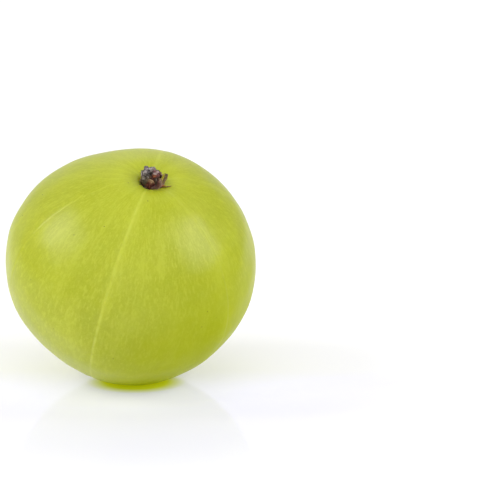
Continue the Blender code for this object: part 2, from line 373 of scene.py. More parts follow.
@dataclass(frozen=True)
class FruitForm:
    """The skin's main form: a radius for each polar angle and azimuth."""

    equator_radius: float = 15.9 * MM
    stalk_half_height: float = 14.15 * MM
    blossom_half_height: float = 13.9 * MM
    belt_draw_in: float = 0.006
    belt_polar: float = 118.0
    belt_spread: float = 22.0
    seams: tuple[Seam, ...] = (
        Seam(22.0, 0.40),
        Seam(82.0, 0.60),
        Seam(144.0, 0.35),
        Seam(204.0, 0.15),
        Seam(258.0, 1.0),
        Seam(323.0, 0.40),
    )
    lobe_flatness: float = 0.065
    corner_rounding: float = 0.12
    corner_fade: float = 1.2
    furrow_depth: float = 0.05 * MM
    furrow_depth_at_ends: float = 0.10 * MM
    furrow_half_width: float = 0.65 * MM
    furrow_end_spread: float = 38.0
    swells: tuple[Swell, ...] = (
        Swell(45.0, 58.6, 0.031, 32.0),
        Swell(48.0, 125.6, -0.029, 32.0),
        Swell(115.0, 328.6, -0.012, 32.0),
        Swell(155.0, 297.6, 0.066, 30.0),
    )
    dimple_depth: float = 0.85 * MM
    dimple_spread: float = 2.6 * MM
    seat_depth: float = 0.55 * MM
    seat_radius: float = 1.35 * MM
    seat_steepness: float = 6.0
    blossom_depth: float = 0.40 * MM
    blossom_spread: float = 1.5 * MM
    height_rounds: int = 4

    def lobes(self, azimuth: Array) -> tuple[Array, Array, Array]:
        """Where azimuths lie between the seams.

        Args:
            azimuth: Degrees.

        Returns:
            Half the lobe's angle in radians, the share of the way from the nearer seam to the lobe's middle,
            and that seam's strength.
        """
        lows = np.array([seam.azimuth for seam in self.seams])
        strengths = np.array([seam.strength for seam in self.seams])
        widths = (np.roll(lows, -1) - lows) % 360.0
        number = (np.searchsorted(lows, azimuth % 360.0, side="right") - 1) % len(lows)
        share = ((azimuth - lows[number]) % 360.0) / widths[number]
        nearer = np.where(share < 0.5, number, (number + 1) % len(lows))
        return np.radians(widths[number] / 2.0), 1.0 - np.abs(2.0 * share - 1.0), strengths[nearer]

    def oval(self, polar: Array) -> Array:
        """Two half ellipsoids that meet at the equator, before anything is added.

        The radius is one over the root of two squares: the sine of the polar angle over the equator's radius,
        and its cosine over the half height on that side.

        Args:
            polar: Degrees from the stalk end.

        Returns:
            The radius in metres.
        """
        tilt = np.radians(polar)
        half_height = np.where(polar < 90.0, self.stalk_half_height, self.blossom_half_height)
        return 1.0 / np.hypot(np.sin(tilt) / self.equator_radius, np.cos(tilt) / half_height)

    def radius(self, polar: Array, azimuth: Array) -> Array:
        """From the fruit's middle to its skin.

        The oval grows by the rounded corner at each seam, shrinks by the belt and grows by the swells, and
        then loses the dimple, the seat, the dip at the blossom end and the furrows, each a bell of the
        distance from the stalk axis or from the seam.

        Args:
            polar: Degrees from the stalk end.
            azimuth: Degrees round the stalk axis.

        Returns:
            The radius in metres at each pair of angles.
        """
        polar, azimuth = np.broadcast_arrays(np.asarray(polar, float), np.asarray(azimuth, float))
        half_angle, from_seam, strength = self.lobes(azimuth)
        tilt = np.radians(polar)
        from_middle = (1.0 - smooth_length(from_seam, self.corner_rounding)) * half_angle
        corner = self.lobe_flatness * (1.0 / np.cos(from_middle) - 1.0) * np.sin(tilt) ** self.corner_fade
        radius = self.oval(polar) * (1.0 + corner)
        radius = radius * (1.0 - self.belt_draw_in * bell(polar - self.belt_polar, self.belt_spread))
        ways = directions(polar, azimuth)
        for swell in self.swells:
            away = degrees_apart(ways, swell.polar, swell.azimuth)
            radius = radius * (1.0 + swell.height * bell(away, swell.spread))
        from_axis = radius * np.sin(tilt)
        seat = self.seat_depth * np.exp(-((from_axis / self.seat_radius) ** self.seat_steepness))
        stalk_end = self.dimple_depth * bell(from_axis, self.dimple_spread) + seat
        blossom_end = self.blossom_depth * bell(from_axis, self.blossom_spread)
        radius = radius - np.where(polar < 90.0, stalk_end, blossom_end)
        near_end = bell(np.minimum(polar, 180.0 - polar), self.furrow_end_spread)
        depth = self.furrow_depth + (self.furrow_depth_at_ends - self.furrow_depth) * near_end
        return radius - depth * strength * bell(from_seam * half_angle * from_axis, self.furrow_half_width)

    def height_at(self, from_axis: float, azimuth: float) -> float:
        """How high the skin is near the stalk end, from a polar angle that each round brings nearer.

        Args:
            from_axis: The distance from the stalk axis in metres.
            azimuth: Degrees round it.

        Returns:
            The height above the fruit's middle in metres.
        """
        polar = math.degrees(math.asin(from_axis / self.stalk_half_height))
        for _ in range(self.height_rounds):
            polar = math.degrees(math.asin(from_axis / float(self.radius(polar, azimuth))))
        return float(self.radius(polar, azimuth)) * math.cos(math.radians(polar))


@dataclass
class RestingPose:
    """The way the fruit lies: how far it leans, and where that puts its middle."""

    lean: float = 25.4
    lean_towards: float = -62.4
    middle: Vector = field(default_factory=Vector)

    def turn(self) -> Matrix:
        """The lean, as a turn about the level line square to the way it leans."""
        way = math.radians(self.lean_towards)
        return Matrix.Rotation(math.radians(self.lean), 3, Vector((-math.sin(way), math.cos(way), 0.0)))

    def set_in_node(self, upright: Array) -> None:
        """Finds the middle that puts the leaned skin in its node: centred, with the tops level.

        Args:
            upright: The skin's points before the lean.
        """
        leaned = upright.reshape(-1, 3) @ np.array(self.turn()).T
        low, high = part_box(FRUIT_NODE)
        across = [(low[i] + high[i] - leaned[:, i].min() - leaned[:, i].max()) / 2.0 for i in range(2)]
        self.middle = Vector((*across, high.z - leaned[:, 2].max()))

    def lay(self, upright: Array) -> Array:
        """Turns and moves upright points into the way the fruit lies."""
        return upright @ np.array(self.turn()).T + np.array(self.middle)

    def mapping(self, graph: Graph) -> Socket:
        """Object coordinates turned back upright, for a material's patterns.

        Args:
            graph: The material's nodes.

        Returns:
            The place from the fruit's middle, in millimetres.
        """
        back = self.turn().transposed()
        inputs = {
            "Vector": graph.node("TexCoord", {}).outputs["Object"],
            "Location": tuple(-(back @ self.middle) / MM),
            "Rotation": tuple(back.to_euler()),
            "Scale": (1.0 / MM, 1.0 / MM, 1.0 / MM),
        }
        return graph.node("Mapping", inputs, vector_type="POINT").outputs["Vector"]


# The skin


@dataclass(frozen=True)
class SkinPlaces:
    """Where a point of the skin is, as the sockets that its patterns read."""

    place: Socket
    meridian: Socket
    from_axis: Socket
    height: Socket

    @classmethod
    def of(cls, graph: Graph, pose: RestingPose) -> "SkinPlaces":
        """Works them out from Object coordinates.

        Args:
            graph: The material's nodes.
            pose: The way the fruit lies, which turns Object coordinates back upright.

        Returns:
            The upright place, the place along the meridians, which is the level direction out of the axis with
            the polar angle in radians as its third number, the distance from the axis, and the height.
        """
        place = pose.mapping(graph)
        x, y, z = graph.node("SeparateXYZ", {"Vector": place}).outputs
        from_axis = graph.vector("LENGTH", graph.vector("MULTIPLY", place, (1.0, 1.0, 0.0)))
        polar = graph.calc("ARCTAN2", from_axis, z)
        round_x = graph.calc("DIVIDE", x, from_axis)
        round_y = graph.calc("DIVIDE", y, from_axis)
        meridian = graph.node("CombineXYZ", {"X": round_x, "Y": round_y, "Z": polar}).outputs[0]
        return cls(place, meridian, from_axis, z)


@dataclass(frozen=True)
class Mottle:
    """Noise on the skin, and the ramp that takes it to a share.

    Its closeness is one number a millimetre where it is the same all ways. Where it is drawn out along the
    meridians, it is three: across them twice, and then along them.
    """

    closeness: Union[float, tuple[float, float, float]]
    detail: float
    roughness: float
    ramp: Ramp

    def noise(self, graph: Graph, where: SkinPlaces) -> Socket:
        """The noise itself.

        Args:
            graph: The material's nodes.
            where: The places that the pattern reads.

        Returns:
            The noise, about 0.5 on average.
        """
        if isinstance(self.closeness, tuple):
            drawn_out = graph.vector("MULTIPLY", where.meridian, self.closeness)
            return graph.noise(drawn_out, 1.0, self.detail, self.roughness)
        return graph.noise(where.place, self.closeness, self.detail, self.roughness)

    def share(self, graph: Graph, noise: Socket) -> Socket:
        """The noise taken along its ramp."""
        return graph.spread(noise, *self.ramp)


@dataclass(frozen=True)
class SkinFinish:
    """Waxy yellow-green skin that lets light in, mottled along the meridians, with pale seams, specks and
    painted shade on one side.
    """

    deep: Colour = (0.382, 0.428, 0.002)
    pale: Colour = (0.495, 0.543, 0.030)
    cloud: Mottle = Mottle(0.16, 3.0, 0.5, (0.30, 0.70, 0.14, 0.50))
    streak: Mottle = Mottle((9.0, 9.0, 2.4), 1.0, 0.5, (0.45, 0.72, 0.0, 0.32))
    thread: Mottle = Mottle((56.0, 56.0, 16.0), 1.0, 0.5, (0.48, 0.74, 0.0, 0.50))
    fleck: Mottle = Mottle((34.0, 34.0, 22.0), 2.0, 0.6, (0.48, 0.72, 0.0, 0.45))
    grain: Mottle = Mottle(5.0, 2.0, 0.6, (0.35, 0.65, -0.12, 0.15))
    halo_mm: Ramp = (1.5, 6.0, 0.3, 0.0)
    ray: Mottle = Mottle((14.0, 14.0, 1.0), 2.0, 0.6, (0.35, 0.65, 0.0, 1.0))
    seam: Colour = (0.560, 0.610, 0.060)
    seam_line_mm: Ramp = (0.05, 0.30, 0.72, 0.0)
    seam_glow_mm: Ramp = (0.0, 1.3, 0.15, 0.0)
    seam_wobble: Mottle = Mottle(0.9, 2.0, 0.5, (0.3, 0.6, 0.35, 1.0))
    speck: Colour = (0.110, 0.105, 0.010)
    speck_closeness: float = 0.50
    speck_edge: Ramp = (0.025, 0.062, 0.85, 0.0)
    specks_kept: Reach = (0.35, 0.4)
    scar: Colour = (0.130, 0.075, 0.020)
    scar_mm: Ramp = (0.35, 0.8, 0.9, 0.0)
    scar_height_mm: Ramp = (-5.0, 0.0, 1.0, 0.0)
    # Painted shade: this deeper green is mixed into one side of the skin to stand for shade there, and that
    # side also gets a lower IOR.
    painted_side_shade: Colour = (0.300, 0.345, 0.001)
    painted_side_shade_share: float = 0.7
    painted_shade_direction: tuple[float, float] = (125.0, 330.0)
    painted_shade_mm: Reach = (0.0, 16.0)
    cloud_roughness: Ramp = (0.3, 0.7, 0.30, 0.34)
    thread_roughness: Ramp = (0.3, 0.7, -0.01, 0.02)
    ior_to_shade: Ramp = (0.0, 1.0, 1.45, 1.12)
    light_depth: float = 6.0 * MM
    light_spread: Colour = (1.0, 0.8, 0.15)
    bump_depth: float = 0.007 * MM
    bump_of_threads: float = 0.6
    bump_of_flecks: float = 0.4

    def seamed(self, graph: Graph, where: SkinPlaces, colour: Socket) -> Socket:
        """Draws the pale seams: a broken line and a faint glow beside it, each as strong as its seam.

        Args:
            graph: The material's nodes.
            where: The places that the pattern reads.
            colour: The skin's colour so far.

        Returns:
            The colour with the seams.
        """
        away = graph.attribute("seam_mm")
        broken = self.seam_wobble.share(graph, self.seam_wobble.noise(graph, where))
        line = graph.calc("MULTIPLY", graph.spread(away, *self.seam_line_mm), broken)
        line = graph.calc("ADD", line, graph.spread(away, *self.seam_glow_mm))
        return graph.mix(graph.calc("MULTIPLY", line, graph.attribute("seam_strength")), colour, self.seam)

    def marked(self, graph: Graph, where: SkinPlaces, colour: Socket) -> Socket:
        """Adds dark specks, one in some of the cells round scattered points, and the scar in the blossom end.

        Args:
            graph: The material's nodes.
            where: The places that the pattern reads.
            colour: The skin's colour so far.

        Returns:
            The colour with the marks.
        """
        dots = graph.cells(where.place, self.speck_closeness)
        lot = graph.node("SeparateColor", {"Color": dots.outputs["Color"]}).outputs[0]
        dot = graph.spread(dots.outputs["Distance"], *self.speck_edge)
        dot = graph.calc("MULTIPLY", dot, graph.spread(lot, *self.specks_kept))
        colour = graph.mix(dot, colour, self.speck)
        scar = graph.spread(where.from_axis, *self.scar_mm)
        scar = graph.calc("MULTIPLY", scar, graph.spread(where.height, *self.scar_height_mm))
        return graph.mix(scar, colour, self.scar)

    def material(self, pose: RestingPose) -> bpy.types.Material:
        """Builds the skin's material.

        The layers of mottling are added up and blend the deep tone with the pale one, which also rays out of
        the dimple. Seams and marks come on top, and painted shade makes one side deeper in colour, and that
        side is less glossy.

        Args:
            pose: The way the fruit lies, which turns Object coordinates back upright.

        Returns:
            The material.
        """
        material = bpy.data.materials.new("waxy_gooseberry_skin")
        graph = Graph(material)
        where = SkinPlaces.of(graph, pose)
        layers = (self.cloud, self.streak, self.thread, self.fleck, self.grain)
        noises = [layer.noise(graph, where) for layer in layers]
        paler: Link = 0.0
        for layer, noise in zip(layers, noises):
            paler = graph.calc("ADD", paler, layer.share(graph, noise))
        colour = graph.mix(paler, self.deep, self.pale)
        rays = self.ray.share(graph, self.ray.noise(graph, where))
        halo = graph.spread(where.from_axis, *self.halo_mm)
        colour = graph.mix(graph.calc("MULTIPLY", halo, rays), colour, self.pale)
        colour = self.marked(graph, where, self.seamed(graph, where, colour))

        # Painted shade: one side of the skin is mixed towards a deeper green, and the same mask lowers the IOR
        # there.
        towards_painted_shade = graph.vector("DOT_PRODUCT", where.place, tuple(directions(*self.painted_shade_direction)))
        painted_shade_mask = graph.spread(towards_painted_shade, *self.painted_shade_mm)
        colour = graph.mix(graph.calc("MULTIPLY", painted_shade_mask, self.painted_side_shade_share), colour, self.painted_side_shade)
        cloud, _, thread, fleck, _ = noises
        rough = graph.spread(cloud, *self.cloud_roughness)
        graph.surface(
            base_color=colour,
            roughness=graph.calc("ADD", rough, graph.spread(thread, *self.thread_roughness)),
            ior=graph.spread(painted_shade_mask, *self.ior_to_shade),
            subsurface_weight=1.0,
            subsurface_radius=self.light_spread,
            subsurface_scale=self.light_depth,
        )
        threads = graph.calc("MULTIPLY", thread, self.bump_of_threads)
        flecks = graph.calc("MULTIPLY", fleck, self.bump_of_flecks)
        graph.bump(graph.calc("ADD", threads, flecks), self.bump_depth)
        return material


@dataclass(frozen=True)
class Ribs:
    """Ribs round the stalk axis: a sine of a number of ribs a turn, swayed by a slower sine."""

    height: float
    number: float
    sway: float
    sways: float

    def at(self, turn: Array) -> Array:
        """Their height at angles in radians."""
        return self.height * np.sin(self.number * turn + self.sway * np.sin(self.sways * turn))


@dataclass
class FruitSkin:
    """The fine skin, which stands for the solid fruit."""

    form: FruitForm
    pose: RestingPose
    columns_per_lobe: int = 60
    rings: int = 240
    column_crowding: float = 0.5
    ring_crowding: float = 0.6
    lump_height: float = 0.022 * MM
    lump_count: int = 14
    lump_closeness: float = 0.55 / MM
    lump_step: float = 0.12 / MM
    lump_seed: int = 7
    wrinkle_height: float = 0.004 * MM
    wrinkle_reach: float = 3.4 * MM
    wrinkle_start: Reach = (0.9 * MM, 1.8 * MM)
    wrinkles: tuple[Ribs, ...] = (Ribs(1.0, 23.0, 1.5, 3.0), Ribs(0.6, 37.0, 2.0, 5.0))

    def azimuths(self) -> Array:
        """Column azimuths: one on each seam, and the rest drawn towards the seams by a sine of their share.

        Returns:
            Degrees, once round the fruit.
        """
        lows = np.array([seam.azimuth for seam in self.form.seams])
        widths = (np.roll(lows, -1) - lows) % 360.0
        share = np.arange(self.columns_per_lobe) / self.columns_per_lobe
        share = share - self.column_crowding * np.sin(FULL_TURN * share) / FULL_TURN
        return (lows[:, None] + widths[:, None] * share[None]).ravel()

    def polars(self) -> Array:
        """Ring polar angles, drawn towards both ends by a sine of twice the angle."""
        even = np.arange(1, self.rings) * 180.0 / self.rings
        return even - np.degrees(self.ring_crowding * np.sin(2.0 * np.radians(even)) / 2.0)

    def relief(self, points: Array, polar: Array, azimuth: Array) -> Array:
        """Low lumps all over, and fine wrinkles that run out of the dimple and fade.

        Args:
            points: The points of the plain form.
            polar: Their polar angles in degrees.
            azimuth: Their azimuths in degrees.

        Returns:
            How much further out each point lies, in metres.
        """
        lumps = waves(points, self.lump_count, self.lump_closeness, self.lump_step, self.lump_seed)
        from_axis = np.hypot(points[..., 0], points[..., 1])
        ribs = sum(wrinkle.at(np.radians(azimuth)) for wrinkle in self.wrinkles)
        inner = smooth_step(from_axis, *self.wrinkle_start) * bell(from_axis, self.wrinkle_reach)
        return self.lump_height * lumps + self.wrinkle_height * ribs * inner * (polar < 90.0)

    def build(self) -> bpy.types.Object:
        """Makes the skin: directions from rings and columns, as long as the form's radius and the relief.

        Returns:
            The skin, closed at both ends on one point, with the way to the nearest seam and that seam's
            strength stored.
        """
        polar, azimuth = np.meshgrid(self.polars(), self.azimuths(), indexing="ij")
        ways = directions(polar, azimuth)
        radius = self.form.radius(polar, azimuth)
        points = ways * radius[..., None]
        points = ways * (radius + self.relief(points, polar, azimuth))[..., None]
        ends = [directions(end, 0.0) * float(self.form.radius(end, 0.0)) for end in (0.0, 180.0)]
        self.pose.set_in_node(points)
        laid = self.pose.lay(points)
        laid[..., 2] = np.maximum(laid[..., 2], 0.0)
        skin = new_piece("skin", [Shell(laid, *(self.pose.lay(end) for end in ends))])
        half_angle, from_seam, strength = self.form.lobes(azimuth)
        away = from_seam * half_angle * np.hypot(points[..., 0], points[..., 1]) / MM
        set_numbers(skin, "seam_mm", np.append(away.ravel(), [0.0, 0.0]))
        set_numbers(skin, "seam_strength", np.append(strength.ravel(), [0.0, 0.0]))
        return skin

    def dress(self, skin: bpy.types.Object, finish: SkinFinish) -> None:
        """Gives the skin its material and its place in the part.

        Args:
            skin: The piece that build made.
            finish: Its finish.
        """
        skin.data.materials.append(finish.material(self.pose))
        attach(skin, BODY)
        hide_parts(FRUIT_NODE)
        log.info("skin: %d faces", len(skin.data.polygons))


# The calyx


class Tissue(Enum):
    """The dead tissues of the calyx, each with its colour."""

    LILAC_GREY = (0.270, 0.235, 0.265)
    BONE = (0.560, 0.520, 0.480)
    OLIVE_BROWN = (0.120, 0.088, 0.040)
    TAN = (0.250, 0.165, 0.085)
    DUSTY_PINK = (0.270, 0.155, 0.125)
    RED_BROWN = (0.130, 0.028, 0.020)
    ROSE = (0.300, 0.095, 0.115)
    ORANGE = (0.540, 0.160, 0.035)
    BLACK = (0.012, 0.008, 0.008)
    # Partly painted highlight: a bright yellow for straw tissue and for the light caught on a sepal's edge.
    STRAW_AND_HIGHLIGHT = (0.780, 0.700, 0.060)

    def colour(self) -> Array:
        """Its colour as an array."""
        return np.array(self.value)


@dataclass(frozen=True)
class Patch:
    """A tissue that shows round one direction from the stub's middle."""

    polar: float
    azimuth: float
    spread: float
    tissue: Tissue


@dataclass(frozen=True)
class Pit:
    """A small pit round one direction from the stub's middle, its depth a share of the radius there, with
    painted shade in it.
    """

    polar: float
    azimuth: float
    depth: float
    spread: float


@dataclass(frozen=True)
class DryFinish:
    """Dead dry tissue: its stored colours with fine grain, darkened by its stored painted shade, rough, with a
    fine bump.
    """

    name: str
    grain: float
    stretch: float
    roughness: float
    depth: float
    dark_times: Colour = (0.42, 0.38, 0.36)
    light_times: Colour = (1.45, 1.42, 1.40)
    light_grain: Reach = (0.32, 0.68)
    blotch_closeness: float = 1.6
    dark_blotch: Ramp = (0.5, 0.8, 0.0, 0.35)
    smooth_grain: Reach = (0.3, 0.8)
    smoother_by: float = 0.25

    def material(self, pose: RestingPose) -> bpy.types.Material:
        """Builds the material.

        Args:
            pose: The way the fruit lies, which turns Object coordinates back upright.

        Returns:
            The material.
        """
        material = bpy.data.materials.new(self.name)
        graph = Graph(material)
        place = pose.mapping(graph)
        drawn_out = graph.vector("MULTIPLY", place, (1.0, 1.0, 1.0 / self.stretch))
        grain = graph.noise(drawn_out, self.grain, 4.0, 0.65)
        blotch = graph.noise(place, self.blotch_closeness, 2.0, 0.6)
        tint = graph.attribute("tint", "Color")
        dark = graph.mix(1.0, tint, self.dark_times, "MULTIPLY")
        light = graph.mix(1.0, tint, self.light_times, "MULTIPLY")
        colour = graph.mix(graph.spread(grain, *self.light_grain), dark, light)
        colour = graph.mix(graph.spread(blotch, *self.dark_blotch), colour, dark)
        # Painted shade: the stored shade of cracks, pits, roots, feet, backs and undersides darkens the colour
        # towards black.
        colour = graph.mix(graph.attribute("painted_shade"), colour, Tissue.BLACK.value)
        rough = graph.spread(grain, *self.smooth_grain, self.roughness, self.roughness - self.smoother_by)
        graph.surface(base_color=colour, roughness=rough, ior=1.45)
        graph.bump(grain, self.depth)
        return material


def spot(ways: Array, place: Union[Patch, Pit]) -> Array:
    """A bell of the angle between unit vectors and a place's direction, as wide as the place's spread."""
    return bell(degrees_apart(ways, place.polar, place.azimuth), place.spread)


def blend(first: Array, second: Array, share: Array) -> Array:
    """Colours between two, by a share for each point."""
    return first + (second - first) * share[..., None]


def one_a_point(values: Array) -> Array:
    """Values on a grid whose first and last rows are its two ends, in the order of a shell's points."""
    rest = values.shape[2:]
    return np.concatenate([values[1:-1].reshape(-1, *rest), values[0, :1], values[-1, :1]])


def with_ends(values: Array) -> Array:
    """Values on a shell's rows, in the order of its points, its two ends taking the values beside them."""
    rest = values.shape[2:]
    return np.concatenate([values.reshape(-1, *rest), values[0, :1], values[-1, :1]])


def plate_tones(plate: Array, darkest: float, lightest: float, seed: int) -> Array:
    """How much lighter or darker each point's plate is, drawn at random for each plate."""
    return np.random.default_rng(seed).uniform(darkest, lightest, int(plate.max()) + 1)[plate]


@dataclass(frozen=True)
class Breakage:
    """How dead tissue breaks up: into plates raised and tilted at random, with a crack round each."""

    raised: float
    tilted: float
    crack_depth: float
    crack_width: float
    seed: int

    def relief(self, points: Array, middles: Array) -> tuple[Array, Array, Array]:
        """Relief of the plates.

        Each point belongs to the plate whose middle is nearest. The plate's random height and the slope of its
        plane are added up, and a bell of the way to the next plate is taken off for the crack.

        Args:
            points: The points, with x, y and z on the last axis.
            middles: The plates' middles.

        Returns:
            The relief, the number of each point's plate, and how far each point lies in a crack.
        """
        draw = np.random.default_rng(self.seed)
        plate, gap = nearest_cells(points, middles)
        heights = draw.uniform(-1.0, 1.0, len(middles))[plate]
        slopes = draw.normal(size=(len(middles), 3))[plate]
        crack = bell(gap, self.crack_width)
        sloping = np.sum((points - middles[plate]) * slopes, axis=-1)
        return self.raised * heights + self.tilted * sloping - self.crack_depth * crack, plate, crack


class CalyxPiece:
    """What every piece of the calyx shares: the fruit's form and pose, a material, and how it is dressed."""

    def __init__(self, form: FruitForm, pose: RestingPose, material: bpy.types.Material) -> None:
        """Keeps what its pieces need.

        Args:
            form: The fruit's form.
            pose: The way the fruit lies.
            material: The material of its pieces.
        """
        self.form = form
        self.pose = pose
        self.material = material

    def dress(
        self, name: str, shells: Sequence[Shell], tints: Sequence[Array], painted_shades: Sequence[Array]
    ) -> None:
        """Makes the piece, stores its colours and painted shade, and gives it its material and place in the
        part.

        Args:
            name: The piece's name.
            shells: Its closed surfaces.
            tints: For each surface, a colour for each point.
            painted_shades: For each surface and point, its painted shade towards black, from 0 to 1.
        """
        piece = new_piece(name, shells)
        set_colours(piece, "tint", np.concatenate(list(tints)))
        set_numbers(piece, "painted_shade", np.concatenate(list(painted_shades)))
        piece.data.materials.append(self.material)
        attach(piece, BODY)
        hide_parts(CALYX_NODE)
        log.info("%s: %d faces", piece.name, len(piece.data.polygons))


@dataclass(frozen=True)
class StubSizes:
    """Sizes of the broken stub of the stalk."""

    radius: float = 1.06 * MM
    half_height: float = 1.20 * MM
    root_depth: float = 1.85 * MM
    squareness: float = 3.2
    slant: float = 0.16
    high_side: float = 160.0
    seat: float = 13.118 * MM
    lump_height: float = 0.045
    lump_count: int = 10
    lump_closeness: float = 5.0
    lump_step: float = 1.3
    seed: int = 11
    plates: int = 95
    plate_breakage: Breakage = Breakage(0.055, 0.30, 0.085, 0.055, 12)
    grains: int = 650
    grain_breakage: Breakage = Breakage(0.022, 0.20, 0.022, 0.030, 13)
    rings: int = 110
    columns: int = 190


@dataclass(frozen=True)
class StubTones:
    """How dark the painted shade is in the stub's cracks, pits and root, and how its plates differ in tone."""

    in_cracks: float = 0.55
    in_pits: float = 2.6
    at_root: float = 0.8
    root_reach: Reach = (0.25, 0.7)
    least_weight: float = 1e-4
    plate_range: Reach = (0.6, 1.45)
    plate_seed: int = 3
    weathered_share: float = 0.45
    weathered_above: float = 0.86
    weathered_seed: int = 4


class DriedStub(CalyxPiece):
    """The stub of the stalk in the middle: a rough drum of broken plates and grains, pitted on top."""

    sizes = StubSizes()
    tones = StubTones()
    pits = (
        Pit(14.0, 300.0, 0.26, 9.0),
        Pit(31.0, 200.0, 0.34, 10.0),
        Pit(35.0, 253.0, 0.40, 10.0),
        Pit(34.0, 255.0, 0.16, 16.0),
        Pit(38.0, 30.0, 0.24, 12.0),
        Pit(40.0, 105.0, 0.20, 11.0),
        Pit(70.0, 300.0, 0.22, 9.0),
        Pit(84.0, 214.0, 0.20, 13.0),
        Pit(75.0, 262.0, 0.15, 8.0),
    )
    patches = (
        Patch(47.0, 205.0, 26.0, Tissue.LILAC_GREY),
        # Painted highlight: this bone-pale patch near the top stands for a glint on the stub.
        Patch(18.0, 190.0, 18.0, Tissue.BONE),
        Patch(35.0, 150.0, 24.0, Tissue.LILAC_GREY),
        Patch(24.0, 268.0, 10.0, Tissue.TAN),
        Patch(26.0, 315.0, 17.0, Tissue.ROSE),
        Patch(42.0, 335.0, 20.0, Tissue.ROSE),
        Patch(48.0, 295.0, 10.0, Tissue.ORANGE),
        Patch(65.0, 300.0, 18.0, Tissue.RED_BROWN),
        Patch(66.0, 272.0, 14.0, Tissue.RED_BROWN),
        Patch(82.0, 245.0, 22.0, Tissue.OLIVE_BROWN),
        Patch(55.0, 245.0, 16.0, Tissue.OLIVE_BROWN),
        Patch(86.0, 322.0, 22.0, Tissue.TAN),
        Patch(60.0, 30.0, 40.0, Tissue.OLIVE_BROWN),
        Patch(60.0, 100.0, 40.0, Tissue.LILAC_GREY),
        Patch(100.0, 180.0, 40.0, Tissue.OLIVE_BROWN),
    )

    def drum(self, ways: Array) -> Array:
        """The plain drum, its top slanting and its root drawn down.

        The radius is the sum of two powers, of the way across over the radius and of the way up over the half
        height, to the power of minus one over the squareness.

        Args:
            ways: Unit vectors from the stub's middle.

        Returns:
            The radius in metres.
        """
        sizes = self.sizes
        lean = ways[..., :2] @ directions(90.0, sizes.high_side)[:2]
        upper = sizes.half_height * (1.0 + sizes.slant * lean)
        half_height = np.where(ways[..., 2] > 0.0, upper, sizes.root_depth)
        across = np.hypot(ways[..., 0], ways[..., 1]) / sizes.radius
        upward = np.abs(ways[..., 2]) / half_height
        return (across ** sizes.squareness + upward ** sizes.squareness) ** (-1.0 / sizes.squareness)

    def relief(self, ways: Array) -> tuple[Array, Array, Array]:
        """Relief on the drum as a share of its radius.

        Crossed waves make the main lumps, each plate is raised and tilted at random with a crack round it,
        grains do the same more finely, and the pits are taken off as bells of the angle from their middle.

        Args:
            ways: Unit vectors from the stub's middle.

        Returns:
            The relief, the number of each point's plate, and its painted shade in cracks, pits and at the
            root, from 0 to 1.
        """
        sizes, tones = self.sizes, self.tones
        lumps = waves(ways, sizes.lump_count, sizes.lump_closeness, sizes.lump_step, sizes.seed)
        draw = np.random.default_rng(sizes.seed)
        middles = draw.normal(size=(sizes.plates + sizes.grains, 3))
        middles /= np.linalg.norm(middles, axis=1)[:, None]
        plates, plate, crack = sizes.plate_breakage.relief(ways, middles[:sizes.plates])
        grains, _, _ = sizes.grain_breakage.relief(ways, middles[sizes.plates:])
        pitted = sum(pit.depth * spot(ways, pit) for pit in self.pits)
        # Painted shade: darker in the cracks and pits and at the root, where the stub meets the skin.
        root = smooth_step(-ways[..., 2], *tones.root_reach)
        painted_shade = np.clip(tones.in_cracks * crack + tones.in_pits * pitted + tones.at_root * root, 0.0, 1.0)
        return sizes.lump_height * lumps + plates + grains - pitted, plate, painted_shade

    def tints(self, ways: Array, plate: Array) -> Array:
        """The patches' colours, weighed by their bells, with each plate lighter, darker or weathered.

        Args:
            ways: Unit vectors from the stub's middle.
            plate: The number of each point's plate.

        Returns:
            A colour for each point.
        """
        tones = self.tones
        weights = [spot(ways, patch) + tones.least_weight for patch in self.patches]
        total = sum(weight[..., None] * patch.tissue.colour() for weight, patch in zip(weights, self.patches))
        tint = total / sum(weights)[..., None]
        tint = tint * plate_tones(plate, *tones.plate_range, tones.plate_seed)[..., None]
        weathered = plate_tones(plate, 0.0, 1.0, tones.weathered_seed) > tones.weathered_above
        return blend(tint, Tissue.BONE.colour(), tones.weathered_share * weathered)

    def build(self) -> None:
        """Makes the stub, each direction as long as the drum's radius and its relief, and dresses it."""
        sizes = self.sizes
        polar = np.linspace(0.0, 180.0, sizes.rings + 2)
        azimuth = np.arange(sizes.columns) * 360.0 / sizes.columns
        ways = directions(polar[:, None], azimuth[None])
        relief, plate, painted_shade = self.relief(ways)
        points = ways * (self.drum(ways) * (1.0 + relief))[..., None]
        points[..., 2] += sizes.seat + sizes.half_height
        laid = self.pose.lay(points)
        tints = self.tints(ways, plate)
        shell = Shell(laid[1:-1], laid[0, 0], laid[-1, 0])
        self.dress("dried_stub", [shell], [one_a_point(tints)], [one_a_point(painted_shade)])


@dataclass(frozen=True)
class Scale:
    """One withered sepal: where it stands, the line it follows from foot to tip, and its tissues.

    Its distance from the axis runs from foot_out to tip_out and is drawn towards bow_out in between. Its face
    is turned by twist degrees clockwise from straight out.
    """

    azimuth: float
    half_width: float
    rise: float
    foot_out: float
    bow_out: float
    tip_out: float
    lean: float
    half_thickness: float
    twist: float
    tissue: Tissue
    tip_tissue: Tissue
    edge_tissue: Tissue

    def line(self, share: Array, lift: float) -> tuple[Array, Array]:
        """Its middle line.

        Args:
            share: The share of the way from foot to tip.
            lift: The height of the foot.

        Returns:
            The distance from the axis, a curve of three points, and the height, which slows towards the tip.
        """
        left = 1.0 - share
        out = self.foot_out * left ** 2 + 2.0 * self.bow_out * share * left + self.tip_out * share ** 2
        return out, lift + self.rise * (share - 0.25 * share ** 3)


